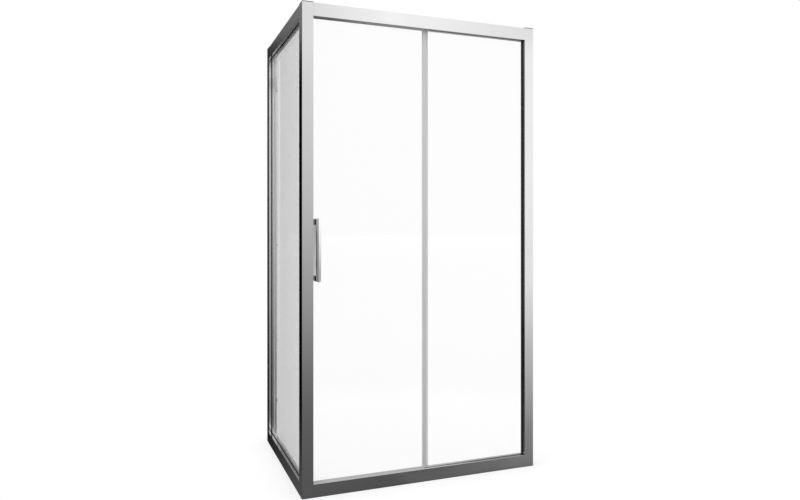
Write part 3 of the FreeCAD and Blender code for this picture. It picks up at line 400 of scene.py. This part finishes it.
def seal_plastic(name, tones, transmission):
    """Pale soft plastic, clouded along its length."""
    made, tree = blank_material(name)
    clouds = noise(tree, SEAL_CLOUDS, detail=3.0)
    principled(tree, Base_Color=clouded(tree, clouds, tones),
               Roughness=map_range(tree, clouds, 0.0, 1.0, *SEAL_ROUGH), IOR=SEAL_INDEX,
               Transmission_Weight=transmission, Normal=bump(tree, clouds, SEAL_BUMP))
    return made


def clear_glass(name, veil, index):
    """Clear glass under a thin pale veil: veil is the share of light that each face scatters, and
    index sets how much a face mirrors."""
    made, tree = blank_material(name)
    clouds = noise(tree, GLASS_CLOUDS)
    waves = noise(tree, GLASS_WAVES)
    glass = node(tree, "ShaderNodeBsdfPrincipled", {
        "Base Color": mixed_tones(tree, clouds, *GLASS_TINTS), "Roughness": 0.0, "IOR": index,
        "Transmission Weight": 1.0, "Normal": bump(tree, waves, WAVE_BUMP, WAVE_RELIEF)})
    pale = node(tree, "ShaderNodeBsdfDiffuse", {"Color": clouded(tree, clouds, VEIL_TONES)})
    both = node(tree, "ShaderNodeMixShader", {0: veil, 1: glass.outputs[0], 2: pale.outputs[0]})
    node(tree, "ShaderNodeOutputMaterial", {"Surface": both.outputs[0]})
    return made


# Each finish has its two tones, its range of roughness, and grains per metre where it has a grain.
frame_metal = [drawn_metal("frame_aluminium_" + "xyz"[axis], axis, (0.84, 0.87), (0.10, 0.15))
               for axis in range(3)]
edge_metal = [drawn_metal("panel_edge_aluminium_" + "xyz"[axis], axis, (0.74, 0.78), (0.38, 0.46),
                          metallic=0.25) for axis in range(3)]
strip_metal = drawn_metal("panel_strip_aluminium", Z, (0.74, 0.78), (0.38, 0.46), metallic=0.3)
# A paler, opaque copy of the seal plastic: the seals' own white, made paler to paint light where
# they lie in shade.
pale_seal_painted_light = seal_plastic("pale_seal_plastic_painted_light", (0.94, 0.97), transmission=0.0)
# The side pane's veil is heavier than the front panes': painted grey that stands in for what its
# glancing face mirrors.
side_glass = clear_glass("side_glass_painted_grey", veil=0.09, index=1.15)
finishes = {
    "grey_plastic": plastic("grey_plastic", (0.02, 0.028), (0.35, 0.5), 1500.0),
    "clear_glass": clear_glass("clear_glass", veil=0.02, index=1.2),
    "black_rubber": plastic("black_rubber", (0.012, 0.02), (0.55, 0.75), 900.0),
    "seal_plastic": seal_plastic("seal_plastic", (0.86, 0.92), transmission=0.15),
    "magnet": plastic("magnet", (0.05, 0.07), (0.45, 0.6), 1200.0),
    "steel": drawn_metal("steel", Z, (0.60, 0.66), (0.22, 0.34)),
    "handle_chrome": drawn_metal("handle_chrome", Z, (0.93, 0.95), (0.04, 0.07)),
    "handle_bush_plastic": plastic("handle_bush_plastic", (0.55, 0.6), (0.3, 0.4), 800.0),
    "wheel_plastic": plastic("wheel_plastic", (0.78, 0.84), (0.28, 0.4), 700.0),
}


def drawn_along(name):
    """Axis that an extruded node was drawn along: the longest side of its box."""
    low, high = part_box(name)
    sides = [b - a for a, b in zip(low, high)]
    return sides.index(max(sides))


def finish_for(name, slot):
    if slot == "frame_aluminium":
        return frame_metal[drawn_along(name)]
    if name == "fixed_edge_profile":
        return strip_metal
    if slot == "panel_edge_aluminium":
        return edge_metal[drawn_along(name)]
    if name == "side_glass":
        return side_glass
    return finishes[slot]


def dress(piece, finish):
    piece.data.materials.clear()
    piece.data.materials.append(finish)


def dress_nodes():
    for part in frame["record"]["subparts"]:
        dress(nodes[part["node"]], finish_for(part["node"], part["material_slot"]))
    for pane in ("fixed_glass", "side_glass", "door_glass"):    # clear panes cast no shade
        nodes[pane].visible_shadow = False
        nodes[pane].visible_diffuse = False


# ---------------------------------------------------------------- shaped pieces
# Sizes from here on are millimetres, and places are millimetres from the outer front corner of the
# corner post: across to the right, back into the enclosure, and up.
CORNER = Vector(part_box("corner_post")[0])


def low_side(name, axis):
    return round((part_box(name)[0][axis] - CORNER[axis]) * 1000.0, 3)


def high_side(name, axis):
    return round((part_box(name)[1][axis] - CORNER[axis]) * 1000.0, 3)


# Inner edges of the frame round the panes
SILL_LINE, HEAD_LINE = high_side("bottom_rail", Z), low_side("top_rail", Z)
POST_LINE, RIGHT_LINE = high_side("corner_post", X), low_side("jamb_right", X)
STILE_LINE, REAR_LINE = high_side("side_front_stile", Y), low_side("jamb_rear", Y)
PANEL_LINE = low_side("fixed_edge_profile", X)      # free edge of the fixed front panel


def add_loft(shape, rings):
    """Closed skin through rings of places, capped at both ends."""
    loops = [[shape.verts.new(CORNER + Vector(place) / 1000.0) for place in ring] for ring in rings]
    join_rings(shape, loops)
    shape.faces.new(loops[0][::-1])
    shape.faces.new(loops[-1])


def finish_piece(name, shape, body, slot, sharp_from=30.0):
    """Makes a piece from a bmesh, shades it, ties it to its body and gives it its slot's finish."""
    bmesh.ops.recalc_face_normals(shape, faces=shape.faces)
    mesh = bpy.data.meshes.new(name)
    shape.to_mesh(mesh)
    shape.free()
    made = bpy.data.objects.new(name, mesh)
    scene.collection.objects.link(made)
    mesh.shade_smooth()
    mesh.set_sharp_from_angle(angle=math.radians(sharp_from))
    mesh.materials.append(finishes[slot])
    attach(made, body)
    return made


# ---------------------------------------------------------------- handles
# Section of the bar: across from its left side, and depth behind its front ridge. Close points
# beside each edge keep the smooth shading to the edge and the facets flat.
BAR_SECTION = [
    (0.0, 9.7), (0.0, 6.0), (0.0, 5.6),                                     # left side
    (0.08, 5.38), (0.3, 5.08), (1.85, 2.64), (2.1, 2.26),                   # left chamfer
    (2.3, 2.13), (2.9, 1.93), (5.4, 1.18), (8.1, 0.37),                     # left facet
    (8.6, 0.22), (9.0, 0.14), (9.4, 0.22),                                  # ridge
    (9.9, 0.39), (12.0, 1.11), (14.0, 1.80), (16.0, 2.49), (17.2, 2.90),    # right facet
    (17.7, 3.10), (18.1, 3.4), (18.4, 4.0), (18.4, 9.5),                    # right side
    (17.9, 10.0), (12.0, 10.0), (6.0, 10.0), (0.3, 10.0),                   # back
]
BAR_WIDE, BAR_THICK = (max(sizes) for sizes in zip(*BAR_SECTION))
BAR_LEFT = low_side("outer_handle", X)
BAR_LOW, BAR_HIGH = low_side("outer_handle", Z), high_side("outer_handle", Z)
BAR_BOW = 5.0               # how far the bar's ends lie behind its middle
END_ROUND = 2.0             # rounding of the bar's front edge at its ends
END_STEPS = (0.0, 0.1, 0.35, 0.7, 1.2, END_ROUND)
END_ARCH, ARCH_RUN = 3.0, 14.0      # the ends are arched across, and the arch fades along the bar
PLAIN_FROM, PLAIN_STEPS = 3.0, 48   # the bow's even steps, between the ends
SHARP_ON_BAR = 22.0         # degrees between faces from which an edge stays sharp
FOOT_HALF_WIDE, FOOT_TALL, FOOT_ROUND = 8.2, 22.0, 2.0
FOOT_ROUND_STEPS = 4
FOOT_LOW_INSET, FOOT_HIGH_INSET = 2.0, 4.0          # from the bar's lower and upper end
FOOT_START = 11.0           # foot's end in the bar, behind the bar's front at its middle


def bar_ring(z, front, out):
    """The bar's section at a height: bowed back towards its ends, which are arched and rounded."""
    middle = (BAR_LOW + BAR_HIGH) / 2.0
    t = (z - middle) / (BAR_HIGH - middle)
    from_end = min(z - BAR_LOW, BAR_HIGH - z)
    into = max(END_ROUND - from_end, 0.0)
    drawn_in = END_ROUND - math.sqrt(END_ROUND ** 2 - into ** 2)
    arch = math.copysign(END_ARCH * max(1.0 - from_end / ARCH_RUN, 0.0) ** 2, t)
    places = []
    for across, deep in BAR_SECTION:
        off_middle = across / BAR_WIDE * 2.0 - 1.0
        y = deep + BAR_BOW * t * t + drawn_in * (1.0 - deep / BAR_THICK)
        x = across - drawn_in * off_middle
        places.append((BAR_LEFT + x, front + out * y, z - arch * off_middle ** 2))
    return places


def foot_ring(y, z_low):
    """Rounded rectangle round a foot, at a depth."""
    middle = BAR_LEFT + BAR_WIDE / 2.0
    places = []
    for right, up, start in ((1, 1, 0), (-1, 1, 90), (-1, -1, 180), (1, -1, 270)):
        x = middle + right * (FOOT_HALF_WIDE - FOOT_ROUND)
        z = z_low + (FOOT_TALL - FOOT_ROUND if up > 0 else FOOT_ROUND)
        for step in range(FOOT_ROUND_STEPS + 1):
            angle = math.radians(start + 90.0 * step / FOOT_ROUND_STEPS)
            places.append((x + FOOT_ROUND * math.cos(angle), y, z + FOOT_ROUND * math.sin(angle)))
    return places


def bow_handle(name, front, seat, stands_for):
    """Two-facet bowed bar on two feet. Front is its ridge and seat its feet's ends, as depths."""
    out = 1.0 if seat > front else -1.0
    plain_run = BAR_HIGH - BAR_LOW - 2.0 * PLAIN_FROM
    heights = [BAR_LOW + step for step in END_STEPS]
    heights += [BAR_LOW + PLAIN_FROM + plain_run * k / PLAIN_STEPS for k in range(PLAIN_STEPS + 1)]
    heights += [BAR_HIGH - step for step in reversed(END_STEPS)]
    shape = bmesh.new()
    add_loft(shape, [bar_ring(z, front, out) for z in heights])
    for z_low in (BAR_LOW + FOOT_LOW_INSET, BAR_HIGH - FOOT_HIGH_INSET - FOOT_TALL):
        add_loft(shape, [foot_ring(y, z_low) for y in (front + out * FOOT_START, seat)])
    made = finish_piece(name, shape, "door", "handle_chrome", SHARP_ON_BAR)
    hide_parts(stands_for)


# ---------------------------------------------------------------- groove trims, partly painted shade
GROOVE_MIDDLE = 13.5        # behind the outer face
TRIM_WIDE, TRIM_TALL = 5.4, 5.4
TRIM_DEEP = 2.5             # from the groove's mouth to the trim's face
# Outline of a trim with a crowned face, as shares of its width and height.
TRIM_OUTLINE = [(-0.5, 1.0), (-0.5, 0.12), (-0.42, 0.03), (-0.2, 0.0), (0.2, 0.0), (0.42, 0.03),
                (0.5, 0.12), (0.5, 1.0)]


def add_trim(shape, start, end, across, into):
    """Straight trim along the groove's mouth from start to end; across and into are directions."""
    rings = []
    for place in (start, end):
        face = Vector(place) + Vector(into) * TRIM_DEEP
        rings.append([face + Vector(across) * TRIM_WIDE * a + Vector(into) * TRIM_TALL * d
                      for a, d in TRIM_OUTLINE])
    add_loft(shape, rings)


def groove_rubber_and_shade():
    """Black rubber in the shadow grooves round the two fixed panes: in part rubber, in part dark
    strips that paint the grooves' shade.
    """
    x_way, y_way = (1, 0, 0), (0, 1, 0)
    shape = bmesh.new()
    for z, way in ((HEAD_LINE, 1), (SILL_LINE, -1)):
        add_trim(shape, (GROOVE_MIDDLE, STILE_LINE, z), (GROOVE_MIDDLE, REAR_LINE, z), x_way,
                 (0, 0, way))
    for y, way in ((REAR_LINE, 1), (STILE_LINE, -1)):
        add_trim(shape, (GROOVE_MIDDLE, y, SILL_LINE), (GROOVE_MIDDLE, y, HEAD_LINE), x_way,
                 (0, way, 0))
    finish_piece("side_groove_rubber_and_shade", shape, "frame", "black_rubber")
    shape = bmesh.new()
    for z, way in ((HEAD_LINE, 1), (SILL_LINE, -1)):
        add_trim(shape, (PANEL_LINE, GROOVE_MIDDLE, z), (RIGHT_LINE, GROOVE_MIDDLE, z), y_way,
                 (0, 0, way))
    add_trim(shape, (RIGHT_LINE, GROOVE_MIDDLE, SILL_LINE),
             (RIGHT_LINE, GROOVE_MIDDLE, HEAD_LINE), y_way, x_way)
    finish_piece("front_groove_rubber_and_shade", shape, "frame", "black_rubber")


# ---------------------------------------------------------------- seals and lips
# Half outlines of crowned strips: along the face that they sit on, and out from it.
EDGE_LIP_HALF = [(0.0, 0.0), (0.0, 0.2), (0.15, 0.4), (0.4, 0.5)]
EDGE_LIP_INSET, EDGE_LIP_END_GAP = 0.5, 0.5
BULB_HALF = [(0.0, 0.0), (0.0, 3.1), (0.3, 4.3), (1.1, 5.2), (2.4, 5.6), (4.0, 5.7)]
LEADING_LIP_HALF = [(0.0, 0.0), (0.0, 0.4), (0.4, 0.7), (1.2, 0.8)]
LEADING_LIP_WIDE, LEADING_LIP_GAP = 5.4, 0.6        # the gap is to the corner post's inner edge
DOOR_STRIP_END_GAP = 2.0
# The wedge's whole outline: left of the right upright's inner edge, and depth.
WEDGE_OUTLINE = [(0.1, 20.0), (0.1, 26.4), (2.8, 26.4), (3.2, 26.0), (3.1, 24.6), (2.0, 21.2),
                 (1.2, 20.2)]
WEDGE_END_GAP = 0.1


def crowned(half, wide):
    """Whole outline from its half: the same points again from the other side."""
    return half + [(wide - along, out) for along, out in reversed(half)]


def upright_strip(name, outline, end_gap, body, slot):
    """Strip of one outline, from the sill to the head but for a gap at each end."""
    shape = bmesh.new()
    add_loft(shape, [[(x, y, z) for x, y in outline]
                     for z in (SILL_LINE + end_gap, HEAD_LINE - end_gap)])
    return finish_piece(name, shape, body, slot)


def panel_edge_lip():
    """White lip on the profile at the fixed front panel's free edge, in the paler seal plastic,
    which paints light on that shaded edge.
    """
    start = low_side("fixed_edge_profile", Y) + EDGE_LIP_INSET
    wide = high_side("fixed_edge_profile", Y) - EDGE_LIP_INSET - start
    outline = [(PANEL_LINE - out, start + along) for along, out in crowned(EDGE_LIP_HALF, wide)]
    lip = upright_strip("panel_edge_lip", outline, EDGE_LIP_END_GAP, "frame", "seal_plastic")
    dress(lip, pale_seal_painted_light)


def trailing_bulb_seal():
    """White bulb seal on the door's trailing stile, which brushes the fixed panel. Its paler
    plastic paints light on it where the profile shades it.
    """
    start, seat = low_side("door_trailing_seal", X), high_side("door_trailing_seal", Y)
    wide = high_side("door_trailing_seal", X) - start
    outline = [(start + along, seat - out) for along, out in crowned(BULB_HALF, wide)]
    seal = upright_strip("trailing_bulb_seal", outline, DOOR_STRIP_END_GAP, "door", "seal_plastic")
    dress(seal, pale_seal_painted_light)
    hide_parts("door_trailing_seal")


def door_leading_lip():
    """Black lip along the door's leading stile, beside the corner post: in part a dark seal, in
    part a dark strip that paints the shade between the handle and the post.
    """
    start, seat = POST_LINE + LEADING_LIP_GAP, low_side("door_leading_stile", Y)
    outline = [(start + along, seat - out)
               for along, out in crowned(LEADING_LIP_HALF, LEADING_LIP_WIDE)]
    upright_strip("door_leading_lip", outline, DOOR_STRIP_END_GAP, "door", "black_rubber")


def right_pane_wedge():
    """Black glazing wedge beside the fixed front pane's right edge: in part a wedge, in part a dark
    strip that paints the shade in the gap beside the pane.
    """
    outline = [(RIGHT_LINE - left, depth) for left, depth in WEDGE_OUTLINE]
    upright_strip("right_pane_wedge", outline, WEDGE_END_GAP, "frame", "black_rubber")


# ---------------------------------------------------------------- everything
build_camera()
dress_nodes()
bow_handle("outer_bow_handle", low_side("outer_handle", Y), high_side("outer_handle", Y),
           "outer_handle")
bow_handle("inner_bow_handle", high_side("inner_handle", Y), low_side("inner_handle", Y),
           "inner_handle")
groove_rubber_and_shade()
panel_edge_lip()
trailing_bulb_seal()
door_leading_lip()
right_pane_wedge()
build_world()
build_floor()
build_key_light()
build_reflected_studio()
